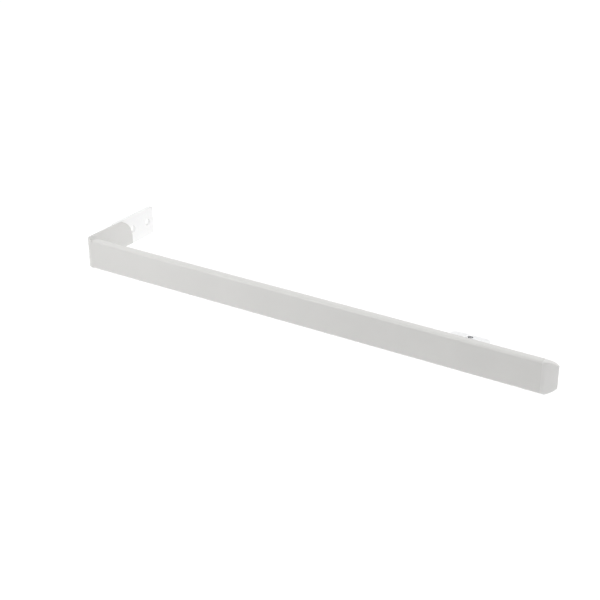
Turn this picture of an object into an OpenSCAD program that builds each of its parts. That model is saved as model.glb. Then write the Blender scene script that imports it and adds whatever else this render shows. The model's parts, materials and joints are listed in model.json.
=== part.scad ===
// Shelf front rail with a side fixing bracket.
// +X runs along the rail, +Y runs back to the wall, +Z is up.
// The origin is the middle of the two side holes, on the face that lies against the side wall.

/* [Rail] */
// Length of the front face, from the left corner to the end cap
rail_length = 485; // [300:1:900]
// Height of the rail and of the side bracket
rail_height = 30; // [24:1:40]
// Depth of the rail from front to back
rail_depth = 7; // [5.5:0.5:12]
// Thickness of the rail's sheet steel
sheet_t = 1.5; // [1.2:0.1:1.8]
// Outer radius of the long folds between the front face and the flanges
fold_r = 2.5; // [1.9:0.1:3]
// Outer radius of the bend at the left corner
corner_r = 9; // [5:0.5:14]

/* [Side bracket] */
// Depth of the whole bracket, from the rail's front face to the plate's rear edge
bracket_depth = 108; // [98:1:160]
// Thickness of the fixing plate
plate_t = 3; // [2:0.5:5]
// Length of the fixing plate
plate_length = 63; // [58:1:63]
// Distance between the two side holes
hole_spacing = 24; // [20:1:25]
// Distance from the rear hole's centre to the plate's rear edge
hole_edge = 9; // [8:0.5:11]
// Diameter of the side holes
hole_d = 7; // [5:0.5:7]
// Radius of the upper rear corner of the return strip
return_r = 22; // [12:1:22]

/* [End cap] */
// Length of the cap that shows beyond the rail
cap_length = 12; // [10:0.5:13]
// Radius of the bend where the cap's facet leaves the front face
cap_bend_r = 6; // [3:0.5:6]
// Radius of the cap's bowed upper edge, seen from the front
cap_upper_r = 20; // [18:1:80]
// Radius of the cap's bowed lower edge, seen from the front
cap_lower_r = 16; // [15:0.5:30]
// Radius of the cap's two outer corners
cap_corner_r = 1.5; // [1.5:0.5:3]
// Thickness of the cap's back plate, which closes the channel's open side at its right end
cap_back_t = 1.4; // [1.2:0.1:2.5]
// Length of the cap's legs inside the rail
leg_length = 20; // [16:1:26]

/* [Rear lug] */
// Distance from the lug's centre line to the right end of the rail's front face
lug_from_end = 69; // [60:1:130]
// Width of the lug
lug_width = 36; // [30:1:46]
// Thickness of the lug
lug_t = 2; // [1.5:0.1:2.5]
// How far the lug stands out behind the flange
lug_reach = 9.5; // [9:0.5:14]
// Distance from the flange's rear edge to the centre of the lug's hole
lug_hole_y = 5.2; // [5:0.1:5.4]
// Clearance hole in the lug
lug_hole_d = 4.8; // [4.6:0.1:5]
// Core diameter of the nut's thread
nut_core_d = 3.3; // [3.2:0.1:3.4]

/* [Hidden] */

round_fn = 64;
half_h = rail_height / 2;
// How far a cutting shape runs past the face that it opens
cut = 1;

// Places along X
strip_x = plate_t;
web_x = strip_x + corner_r;
rail_end_x = strip_x + rail_length;
lug_x = rail_end_x - lug_from_end;

// Places along Y
plate_rear_y = hole_spacing / 2 + hole_edge;
front_y = plate_rear_y - bracket_depth;
flange_y = front_y + rail_depth;
plate_front_y = plate_rear_y - plate_length;
// Clear space between the return strip's rear end and the front hole
return_gap = 0.9;
// How far the return's lower edge is trimmed, to meet the channel's lower fold
return_trim = 0.9;
hole_clear_y = sqrt(pow(return_r, 2) - pow(half_h - return_r, 2));
return_centre_y = -hole_spacing / 2 - hole_d / 2 - return_gap - hole_clear_y;
lug_centre_y = flange_y + lug_hole_y;

// Flanges
flange_gap = 1;
flange_x = web_x + flange_gap;
flange_corner_r = 3;
inner_fold_r = fold_r - sheet_t;

// Plate and rivets
plate_corner_r = 1.5;
rivet_edge = 9;
rivet_y = plate_front_y + rivet_edge;
rivet_z = 7.5;
rivet_d = 4;
rivet_head_d = 7;
rivet_head_h = 1;

// End cap
cap_land = 1;
cap_depth = rail_depth + cap_back_t;
back_length = 9;
back_margin = fold_r;
back_height = rail_height - 2 * back_margin;
back_corner_r = 3;
cap_wall = 3;
leg_t = 2.4;
leg_clear = 0.1;
plug_y = front_y + sheet_t + leg_clear;
leg_y = plug_y + inner_fold_r;
snap_inset = 5;
snap_x = rail_end_x - leg_length + snap_inset;
snap_y = (leg_y + flange_y) / 2;
snap_l = 4;
snap_w = 3;
snap_h = 1.2;
snap_clear = 0.3;

// Lug and nut
lug_z = half_h - sheet_t;
lug_corner_r = 5;
lug_gap = 0.4;
lug_root = rail_depth - fold_r - lug_gap;
nut_width = 7;
nut_height = 3.2;
nut_corner_r = 1;

// Rectangle from the origin along the first axis, with its two far corners rounded
module tongue(length, width, r) {
    translate([0, -width / 2])
        square([length - r, width]);
    translate([length - r, -width / 2 + r])
        square([r, width - 2 * r]);
    for (side = [-1, 1])
        translate([length - r, side * (width / 2 - r)])
            circle(r = r, $fn = round_fn);
}

// Cross-section of the channel, with Y from the front face and Z from the middle
module channel_section() {
    difference() {
        folded_outline(0, fold_r, rail_depth);
        folded_outline(sheet_t, inner_fold_r, rail_depth + cut);
    }
}

// The channel's outline as far as back, moved inwards by inset, with its two front corners rounded
module folded_outline(inset, r, back) {
    h = rail_height - 2 * inset;
    translate([inset + r, -h / 2])
        square([back - inset - r, h]);
    translate([inset, -h / 2 + r])
        square([r, h - 2 * r]);
    for (side = [-1, 1])
        translate([inset + r, side * (h / 2 - r)])
            circle(r = r, $fn = round_fn);
}

// The channel's full length, from the end of its flanges to its right end
module channel() {
    difference() {
        translate([web_x, front_y, 0])
            rotate([90, 0, 90])
                linear_extrude(rail_end_x - web_x)
                    channel_section();
        flange_relief();
        snap_slot();
    }
}

// Cuts both flanges back from the corner bend, with a rounded end
module flange_relief() {
    relief_y = front_y + fold_r;
    straight = flange_y - flange_corner_r - relief_y;
    translate([0, 0, -half_h - cut])
        linear_extrude(rail_height + 2 * cut)
            difference() {
                translate([web_x - cut, relief_y])
                    square([cut + flange_gap + flange_corner_r, rail_depth]);
                translate([flange_x + flange_corner_r, flange_y - flange_corner_r])
                    circle(r = flange_corner_r, $fn = round_fn);
                translate([flange_x, relief_y - cut])
                    square([flange_corner_r + cut, straight + cut]);
            }
}

// Slot in the lower flange that the end cap's catch drops into
module snap_slot() {
    translate([
        snap_x - snap_clear,
        snap_y - snap_w / 2 - snap_clear,
        -half_h - cut
    ])
        cube([snap_l + 2 * snap_clear, snap_w + 2 * snap_clear, sheet_t + 2 * cut]);
}

// Quarter ring of sheet that joins the front web to the return strip
module corner_bend() {
    translate([web_x, front_y + corner_r, -half_h + return_trim])
        linear_extrude(rail_height - return_trim)
            intersection() {
                difference() {
                    circle(r = corner_r, $fn = round_fn);
                    circle(r = corner_r - sheet_t, $fn = round_fn);
                }
                translate([-corner_r, -corner_r])
                    square(corner_r);
            }
}

// Side view of the return strip, with Y along the first axis and Z along the second
module return_outline() {
    start_y = front_y + corner_r;
    arc_z = half_h - return_r;
    end_y = return_centre_y + return_r;
    low_z = -half_h + return_trim;
    translate([start_y, low_z])
        square([return_centre_y - start_y, half_h - low_z]);
    translate([return_centre_y, low_z])
        square([end_y - return_centre_y, arc_z - low_z]);
    intersection() {
        translate([return_centre_y, arc_z])
            circle(r = return_r, $fn = 2 * round_fn);
        translate([return_centre_y, arc_z])
            square(return_r);
    }
}

module return_strip() {
    difference() {
        translate([strip_x, 0, 0])
            rotate([90, 0, 90])
                linear_extrude(sheet_t)
                    return_outline();
        plate_rivets_solid();
    }
}

// Both flush rivets, with a countersunk head at each face
module plate_rivets_solid() {
    grip = plate_t + sheet_t;
    for (side = [-1, 1])
        translate([0, rivet_y, side * rivet_z])
            rotate([0, 90, 0]) {
                cylinder(h = grip, d = rivet_d, $fn = round_fn);
                cylinder(h = rivet_head_h, d1 = rivet_head_d, d2 = rivet_d, $fn = round_fn);
                translate([0, 0, grip - rivet_head_h])
                    cylinder(h = rivet_head_h, d1 = rivet_d, d2 = rivet_head_d, $fn = round_fn);
            }
}

module front_rail() {
    color("white") {
        channel();
        corner_bend();
        return_strip();
    }
}

module fixing_plate() {
    color("whitesmoke")
        difference() {
            rotate([90, 0, 90])
                linear_extrude(plate_t)
                    translate([(plate_front_y + plate_rear_y) / 2, 0])
                        rounded_rectangle(plate_length, rail_height, plate_corner_r);
            for (side = [-1, 1])
                translate([-cut, side * hole_spacing / 2, 0])
                    rotate([0, 90, 0])
                        cylinder(h = plate_t + 2 * cut, d = hole_d, $fn = round_fn);
            plate_rivets_solid();
        }
}

module rounded_rectangle(length, width, r) {
    square([length - 2 * r, width], center = true);
    square([length, width - 2 * r], center = true);
    for (sx = [-1, 1], sy = [-1, 1])
        translate([sx * (length / 2 - r), sy * (width / 2 - r)])
            circle(r = r, $fn = round_fn);
}

module plate_rivets() {
    color("gainsboro")
        plate_rivets_solid();
}

// Front view of the part of the cap that shows, with X along the first axis
module cap_front_outline() {
    cap_half_outline(cap_upper_r);
    mirror([0, 1])
        cap_half_outline(cap_lower_r);
}

// Upper half of the cap's front view, with an edge bowed to edge_r and a rounded outer corner
module cap_half_outline(edge_r) {
    corner_x = cap_length - cap_corner_r;
    centre_z = half_h - edge_r;
    corner_z = centre_z + sqrt(pow(edge_r - cap_corner_r, 2) - pow(corner_x, 2));
    blend_x = corner_x * edge_r / (edge_r - cap_corner_r);
    intersection() {
        square([blend_x, half_h]);
        translate([0, centre_z])
            circle(r = edge_r, $fn = 4 * round_fn);
    }
    square([cap_length, corner_z]);
    translate([corner_x, corner_z])
        circle(r = cap_corner_r, $fn = round_fn);
}

// Top view of the same part: a bend from the front face, a flat facet and a narrow rear edge
module cap_top_outline() {
    land_y = cap_depth - cap_land;
    rise = land_y - cap_bend_r;
    bend_a = atan2(rise, cap_length) - acos(cap_bend_r / norm([cap_length, rise]));
    bend_end = [cap_bend_r * cos(bend_a), cap_bend_r * (1 + sin(bend_a))];
    polygon([
        [0, cap_bend_r],
        bend_end,
        [cap_length, land_y],
        [cap_length, cap_depth],
        [0, cap_depth]
    ]);
    intersection() {
        square([bend_end[0], cap_bend_r]);
        translate([0, cap_bend_r])
            circle(r = cap_bend_r, $fn = 2 * round_fn);
    }
}

// The facet that turns back from the front face to the rear edge, its long edges folded as the channel's
module cap_head() {
    intersection() {
        translate([rail_end_x, front_y, 0])
            rotate([90, 0, 90])
                linear_extrude(cap_length)
                    translate([cap_depth / 2, 0])
                        rounded_rectangle(cap_depth, rail_height, fold_r);
        translate([rail_end_x, front_y + cap_depth, 0])
            rotate([90, 0, 0])
                linear_extrude(cap_depth)
                    cap_front_outline();
        translate([rail_end_x, front_y, -half_h])
            linear_extrude(rail_height)
                cap_top_outline();
    }
}

// The two legs and the wall between them that plug into the channel
module cap_plug() {
    leg_z = half_h - sheet_t - leg_clear;
    for (side = [-1, 1])
        translate([
            rail_end_x - leg_length,
            leg_y,
            side * (leg_z - leg_t / 2) - leg_t / 2
        ])
            cube([leg_length, flange_y - leg_y, leg_t]);
    translate([rail_end_x - cap_wall, plug_y, -leg_z + inner_fold_r])
        cube([cap_wall, flange_y - plug_y, 2 * (leg_z - inner_fold_r)]);
    translate([snap_x, snap_y - snap_w / 2, -leg_z - snap_h])
        cube([snap_l, snap_w, snap_h + leg_t / 2]);
}

// The plate behind the channel's right end, with its two inner corners rounded
module cap_back() {
    translate([rail_end_x, front_y + cap_depth, 0])
        rotate([90, 0, 0])
            linear_extrude(cap_back_t)
                mirror([1, 0])
                    tongue(back_length, back_height, back_corner_r);
}

module end_cap() {
    color("white") {
        cap_head();
        cap_plug();
        cap_back();
    }
}

module rear_lug() {
    root_y = flange_y - lug_root;
    color("whitesmoke")
        difference() {
            translate([lug_x, root_y, lug_z - lug_t])
                linear_extrude(lug_t)
                    rotate(90)
                        tongue(lug_root + lug_reach, lug_width, lug_corner_r);
            translate([lug_x, lug_centre_y, lug_z - lug_t - cut])
                cylinder(h = lug_t + 2 * cut, d = lug_hole_d, $fn = round_fn);
        }
}

module weld_nut() {
    color("dimgray")
        translate([lug_x, lug_centre_y, lug_z - lug_t - nut_height])
            difference() {
                linear_extrude(nut_height)
                    rounded_rectangle(nut_width, nut_width, nut_corner_r);
                translate([0, 0, -cut])
                    cylinder(h = nut_height + 2 * cut, d = nut_core_d, $fn = round_fn);
            }
}

front_rail();
fixing_plate();
plate_rivets();
end_cap();
rear_lug();
weld_nut();
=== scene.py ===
"""Looks for the shelf front rail, in a white studio.

The rail, its rivets and the fixing plate are powder-coated steel. The cap is moulded plastic, and
the lug and the nut under it are zinc-plated steel.
"""

import json
import math

import bpy
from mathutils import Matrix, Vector


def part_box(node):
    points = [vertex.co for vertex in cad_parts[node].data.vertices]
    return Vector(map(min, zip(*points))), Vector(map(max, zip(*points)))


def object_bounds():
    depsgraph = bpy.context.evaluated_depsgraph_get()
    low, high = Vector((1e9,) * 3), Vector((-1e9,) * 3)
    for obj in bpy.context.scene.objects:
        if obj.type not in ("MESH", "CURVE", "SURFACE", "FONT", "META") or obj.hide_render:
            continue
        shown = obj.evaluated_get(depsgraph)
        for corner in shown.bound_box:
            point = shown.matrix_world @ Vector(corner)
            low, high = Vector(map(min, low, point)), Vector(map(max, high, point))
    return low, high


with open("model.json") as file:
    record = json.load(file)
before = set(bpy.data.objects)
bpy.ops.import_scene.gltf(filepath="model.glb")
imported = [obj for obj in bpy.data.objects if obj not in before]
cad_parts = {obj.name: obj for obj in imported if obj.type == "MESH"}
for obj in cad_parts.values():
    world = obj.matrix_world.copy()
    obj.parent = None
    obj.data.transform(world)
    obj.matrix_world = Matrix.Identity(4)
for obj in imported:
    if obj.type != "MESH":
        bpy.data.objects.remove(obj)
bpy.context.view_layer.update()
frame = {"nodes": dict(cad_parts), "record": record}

MM = 0.001
WHITE = (1.0, 1.0, 1.0, 1.0)

# ---------------------------------------------------------------- camera
LENS_MM = 73.9
SENSOR_MM = 36.0
AZIMUTH = math.radians(32.42)
ELEVATION = math.radians(25.2)
# From the rail's right front top corner to the camera
CORNER_TO_CAMERA = Vector((304.6, -842.6, 466.65)) * MM
CLIP_NEAR = 0.01
CLIP_FAR = 50.0


def make_camera():
    """A camera at the photograph's angle, placed from the rail's right front top corner."""
    rail_low, rail_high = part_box("front_rail")
    corner = Vector((rail_high.x, rail_low.y, rail_high.z))
    data = bpy.data.cameras.new("camera")
    data.lens = LENS_MM
    data.sensor_width = SENSOR_MM
    data.clip_start = CLIP_NEAR
    data.clip_end = CLIP_FAR
    data.dof.use_dof = False
    camera = bpy.data.objects.new("camera", data)
    bpy.context.scene.collection.objects.link(camera)
    camera.location = corner + CORNER_TO_CAMERA
    camera.rotation_euler = (math.pi / 2 - ELEVATION, 0.0, AZIMUTH)
    bpy.context.scene.camera = camera


make_camera()


# ---------------------------------------------------------------- materials
EVEN = (1.0, 1.0, 1.0)

# Where on the noise's scale a ramp starts and ends
RAMP_START = 0.3
RAMP_END = 0.7

# Bumps: noise cells a metre, detail, strength, depth in metres, and stretch where there is one
ORANGE_PEEL = {"cells": 620.0, "detail": 1.0, "strength": 0.35, "depth": 0.03 * MM}
COAT_GRAIN = {"cells": 2600.0, "detail": 2.0, "strength": 0.25, "depth": 0.008 * MM}
MOULD_GRAIN = {"cells": 3400.0, "detail": 3.0, "strength": 0.4, "depth": 0.012 * MM}
FLOW_STREAKS = {
    "cells": 60.0, "detail": 1.0, "strength": 0.2, "depth": 0.05 * MM, "stretch": (0.25, 1.0, 1.0),
}
TOOL_LINES = {
    "cells": 900.0, "detail": 2.0, "strength": 0.5, "depth": 0.02 * MM, "stretch": (0.15, 1.0, 1.0),
}
ZINC_GRAIN = {"cells": 5200.0, "detail": 2.0, "strength": 0.3, "depth": 0.005 * MM}

# Mottles: share by which the tone varies, amount by which the roughness does, and noise cells a
# metre of each
COAT_MOTTLE = {"tone": 0.012, "gloss": 0.03, "tone_cells": 28.0, "gloss_cells": 160.0}
PLASTIC_MOTTLE = {"tone": 0.008, "gloss": 0.03, "tone_cells": 90.0, "gloss_cells": 400.0}
ZINC_MOTTLE = {"tone": 0.05, "gloss": 0.05, "tone_cells": 420.0, "gloss_cells": 700.0}

PLASTIC_IOR = 1.49
PLASTIC_SCATTER = 0.08
PLASTIC_SCATTER_RADIUS = (1.0, 0.9, 0.8)
PLASTIC_SCATTER_DEPTH = 0.6 * MM


def new_material(name):
    """A material whose node tree holds only its shader and its output."""
    material = bpy.data.materials.new(name)
    material.use_nodes = True
    tree = material.node_tree
    return material, tree, tree.nodes["Principled BSDF"]


def noise(tree, cells, detail=2.0, stretch=EVEN):
    """Object-space noise with that many cells a metre, stretched along an axis where asked."""
    coords = tree.nodes.new("ShaderNodeTexCoord")
    mapping = tree.nodes.new("ShaderNodeMapping")
    mapping.inputs["Scale"].default_value = stretch
    node = tree.nodes.new("ShaderNodeTexNoise")
    node.inputs["Scale"].default_value = cells
    node.inputs["Detail"].default_value = detail
    tree.links.new(coords.outputs["Object"], mapping.inputs["Vector"])
    tree.links.new(mapping.outputs["Vector"], node.inputs["Vector"])
    return node.outputs["Fac"]


def ramp(tree, source, low, high):
    """Colour that runs from low to high as source rises."""
    node = tree.nodes.new("ShaderNodeValToRGB")
    places = (RAMP_START, RAMP_END)
    for element, place, colour in zip(node.color_ramp.elements, places, (low, high)):
        element.position = place
        element.color = (*colour, 1.0)
    tree.links.new(source, node.inputs["Fac"])
    return node.outputs["Color"]


def grey(value):
    return (value, value, value)


def bump(tree, shader, layers):
    """Stacks noise bumps on the shader's normal."""
    normal = None
    for layer in layers:
        node = tree.nodes.new("ShaderNodeBump")
        node.inputs["Strength"].default_value = layer["strength"]
        node.inputs["Distance"].default_value = layer["depth"]
        height = noise(tree, layer["cells"], layer["detail"], layer.get("stretch", EVEN))
        tree.links.new(height, node.inputs["Height"])
        if normal:
            tree.links.new(normal, node.inputs["Normal"])
        normal = node.outputs["Normal"]
    tree.links.new(normal, shader.inputs["Normal"])


def mottle(tree, shader, base, roughness, amounts):
    """Tone and gloss that vary a little over the surface."""
    low = [channel * (1.0 - amounts["tone"]) for channel in base]
    high = [min(1.0, channel * (1.0 + amounts["tone"])) for channel in base]
    tone = ramp(tree, noise(tree, amounts["tone_cells"]), low, high)
    tree.links.new(tone, shader.inputs["Base Color"])
    smooth, rough = grey(roughness - amounts["gloss"]), grey(roughness + amounts["gloss"])
    gloss = ramp(tree, noise(tree, amounts["gloss_cells"]), smooth, rough)
    tree.links.new(gloss, shader.inputs["Roughness"])


def powder_coat(name, base, roughness):
    """Satin powder coat: a soft orange peel, a fine grain on top and a slightly uneven tone."""
    material, tree, shader = new_material(name)
    mottle(tree, shader, base, roughness, COAT_MOTTLE)
    bump(tree, shader, [ORANGE_PEEL, COAT_GRAIN])
    return material


def moulded_plastic(name, base, roughness):
    """Polypropylene from a spark-eroded mould: an even fine grain and faint flow streaks."""
    material, tree, shader = new_material(name)
    mottle(tree, shader, base, roughness, PLASTIC_MOTTLE)
    shader.inputs["IOR"].default_value = PLASTIC_IOR
    shader.inputs["Subsurface Weight"].default_value = PLASTIC_SCATTER
    shader.inputs["Subsurface Radius"].default_value = PLASTIC_SCATTER_RADIUS
    shader.inputs["Subsurface Scale"].default_value = PLASTIC_SCATTER_DEPTH
    bump(tree, shader, [MOULD_GRAIN, FLOW_STREAKS])
    return material


def zinc_plate(name, base, roughness):
    """Dull zinc plating: metal with a cloudy tone and fine tooling lines."""
    material, tree, shader = new_material(name)
    mottle(tree, shader, base, roughness, ZINC_MOTTLE)
    shader.inputs["Metallic"].default_value = 1.0
    bump(tree, shader, [TOOL_LINES, ZINC_GRAIN])
    return material


# The base colour and the middle roughness of each slot. The denoiser treats surfaces smoother than
# about 0.27 in another way, so no material's roughness crosses that value.
MATERIALS = {
    "white_coat": powder_coat("white_coat", (0.665, 0.66, 0.645), 0.24),
    # plate_coat is the same white powder coat made much lighter, as painted light: it stands in for
    # the stronger light that falls on the fixing plate.
    "plate_coat": powder_coat("plate_coat", (0.91, 0.91, 0.91), 0.24),
    "white_plastic": moulded_plastic("white_plastic", (0.70, 0.695, 0.685), 0.34),
    "bright_zinc": zinc_plate("bright_zinc", (0.94, 0.945, 0.95), 0.42),
    "zinc_steel": zinc_plate("zinc_steel", (0.66, 0.67, 0.68), 0.48),
}


# ---------------------------------------------------------------- CAD pieces
BEVEL_MM = {
    "front_rail": 0.3,
    "fixing_plate": 0.35,
    "plate_rivets": 0.1,
    "end_cap": 0.4,
    "rear_lug": 0.3,
    "weld_nut": 0.3,
}
BEVEL_SEGMENTS = 3
BEVEL_ANGLE = math.radians(40.0)
WELD_DISTANCE = 0.005 * MM
FLAT_ANGLE = math.radians(0.5)
NORMAL_WEIGHT = 100


def finish_node(piece, width):
    """Softens a CAD piece's edges as its coat does, and shades it smoothly."""
    piece.data.shade_smooth()
    weld = piece.modifiers.new("weld", "WELD")
    weld.merge_threshold = WELD_DISTANCE
    flat = piece.modifiers.new("flat", "DECIMATE")
    flat.decimate_type = "DISSOLVE"
    flat.angle_limit = FLAT_ANGLE
    bevel = piece.modifiers.new("bevel", "BEVEL")
    bevel.width = width
    bevel.segments = BEVEL_SEGMENTS
    bevel.limit_method = "ANGLE"
    bevel.angle_limit = BEVEL_ANGLE
    # Sliding along the seams of a face with a hole would fold that face over itself
    bevel.loop_slide = False
    normals = piece.modifiers.new("normals", "WEIGHTED_NORMAL")
    normals.keep_sharp = True
    normals.weight = NORMAL_WEIGHT


for row in frame["record"]["subparts"]:
    piece = frame["nodes"][row["node"]]
    piece.data.materials.clear()
    piece.data.materials.append(MATERIALS[row["material_slot"]])
    finish_node(piece, BEVEL_MM[row["node"]] * MM)


# ---------------------------------------------------------------- studio
FLOOR_MIDDLE = (0.25, 0.0)
FLOOR_DROP = 0.6
FLOOR_SIZE = 400.0
FLOOR_COLOUR = (0.97, 0.97, 0.97, 1.0)
FLOOR_GLOW = 0.05

# Strength of the world at the front and the rear of the studio, and the way to its rear
WORLD_FRONT = 0.03
WORLD_REAR = 0.9
WORLD_TOWARDS = (-0.4, 0.9, 0.0)
# Cosines to that way between which the world goes from front to rear
FADE_START = -0.3
FADE_END = 0.6

# Suns: where the light comes from, its strength, and its width in degrees
SUNS = {
    "overhead": {"place": (0.1, 0.05, 1.0), "strength": 1.38, "width": 40.0},
    "key": {"place": (-0.45, -0.60, 0.65), "strength": 1.05, "width": 25.0},
    "right": {"place": (1.0, -0.3, 0.12), "strength": 0.28, "width": 30.0},
}

# Softboxes: place and target in metres, edge in metres, power in watts, and spread in degrees
SOFTBOXES = {
    "right_rear": {
        "place": (0.26, 0.12, -0.05), "target": (0.0, 0.0, 0.0), "edge": 0.15, "power": 0.037,
        "spread": 70.0,
    },
    "left_front": {
        "place": (0.03, -0.35, 0.05), "target": (0.10, -0.087, 0.0), "edge": 0.3, "power": 0.20,
        "spread": 180.0,
    },
    "right_end": {
        "place": (0.75, -0.06, 0.0), "target": (0.50, -0.083, 0.0), "edge": 0.1, "power": 0.20,
        "spread": 180.0,
    },
}


def make_floor():
    """A plain pale floor well below the object, so that no shadow of it shows."""
    low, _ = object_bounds()
    place = (*FLOOR_MIDDLE, low.z - FLOOR_DROP)
    bpy.ops.mesh.primitive_plane_add(size=FLOOR_SIZE, location=place)
    floor = bpy.context.object
    floor.name = "floor"
    material, _, shader = new_material("floor")
    shader.inputs["Base Color"].default_value = FLOOR_COLOUR
    shader.inputs["Roughness"].default_value = 1.0
    shader.inputs["Specular IOR Level"].default_value = 0.0
    shader.inputs["Emission Color"].default_value = WHITE
    shader.inputs["Emission Strength"].default_value = FLOOR_GLOW
    floor.data.materials.append(material)


def make_world():
    """Soft white light that grows from the front of the studio to its rear."""
    world = bpy.data.worlds.new("studio")
    world.use_nodes = True
    tree = world.node_tree
    coords = tree.nodes.new("ShaderNodeTexCoord")
    facing = tree.nodes.new("ShaderNodeVectorMath")
    facing.operation = "DOT_PRODUCT"
    facing.inputs[1].default_value = Vector(WORLD_TOWARDS).normalized()
    tree.links.new(coords.outputs["Generated"], facing.inputs[0])
    fade = tree.nodes.new("ShaderNodeMapRange")
    fade.interpolation_type = "SMOOTHSTEP"
    fade.inputs["From Min"].default_value = FADE_START
    fade.inputs["From Max"].default_value = FADE_END
    fade.inputs["To Min"].default_value = WORLD_FRONT
    fade.inputs["To Max"].default_value = WORLD_REAR
    tree.links.new(facing.outputs["Value"], fade.inputs["Value"])
    # The camera itself sees plain white beyond the floor
    path = tree.nodes.new("ShaderNodeLightPath")
    seen = tree.nodes.new("ShaderNodeMath")
    seen.operation = "MAXIMUM"
    tree.links.new(fade.outputs["Result"], seen.inputs[0])
    tree.links.new(path.outputs["Is Camera Ray"], seen.inputs[1])
    background = tree.nodes["Background"]
    background.inputs["Color"].default_value = WHITE
    tree.links.new(seen.outputs["Value"], background.inputs["Strength"])
    bpy.context.scene.world = world


def add_light(data, place, target):
    """Puts a light at a place and turns it to its target. The camera doesn't see it."""
    light = bpy.data.objects.new(data.name, data)
    bpy.context.scene.collection.objects.link(light)
    light.location = place
    way = Vector(target) - Vector(place)
    light.rotation_euler = way.to_track_quat("-Z", "Y").to_euler()
    light.visible_camera = False


def make_suns():
    """Broad suns from above, from the front left and from the right."""
    for name, facts in SUNS.items():
        data = bpy.data.lights.new(name, "SUN")
        data.energy = facts["strength"]
        data.angle = math.radians(facts["width"])
        add_light(data, facts["place"], (0.0, 0.0, 0.0))


def make_softboxes():
    """Small square softboxes close to the object."""
    for name, facts in SOFTBOXES.items():
        data = bpy.data.lights.new(name, "AREA")
        data.shape = "RECTANGLE"
        data.size = data.size_y = facts["edge"]
        data.spread = math.radians(facts["spread"])
        data.energy = facts["power"]
        add_light(data, facts["place"], facts["target"])


make_floor()
make_world()
make_suns()
make_softboxes()
bpy.context.scene.view_settings.view_transform = "Standard"
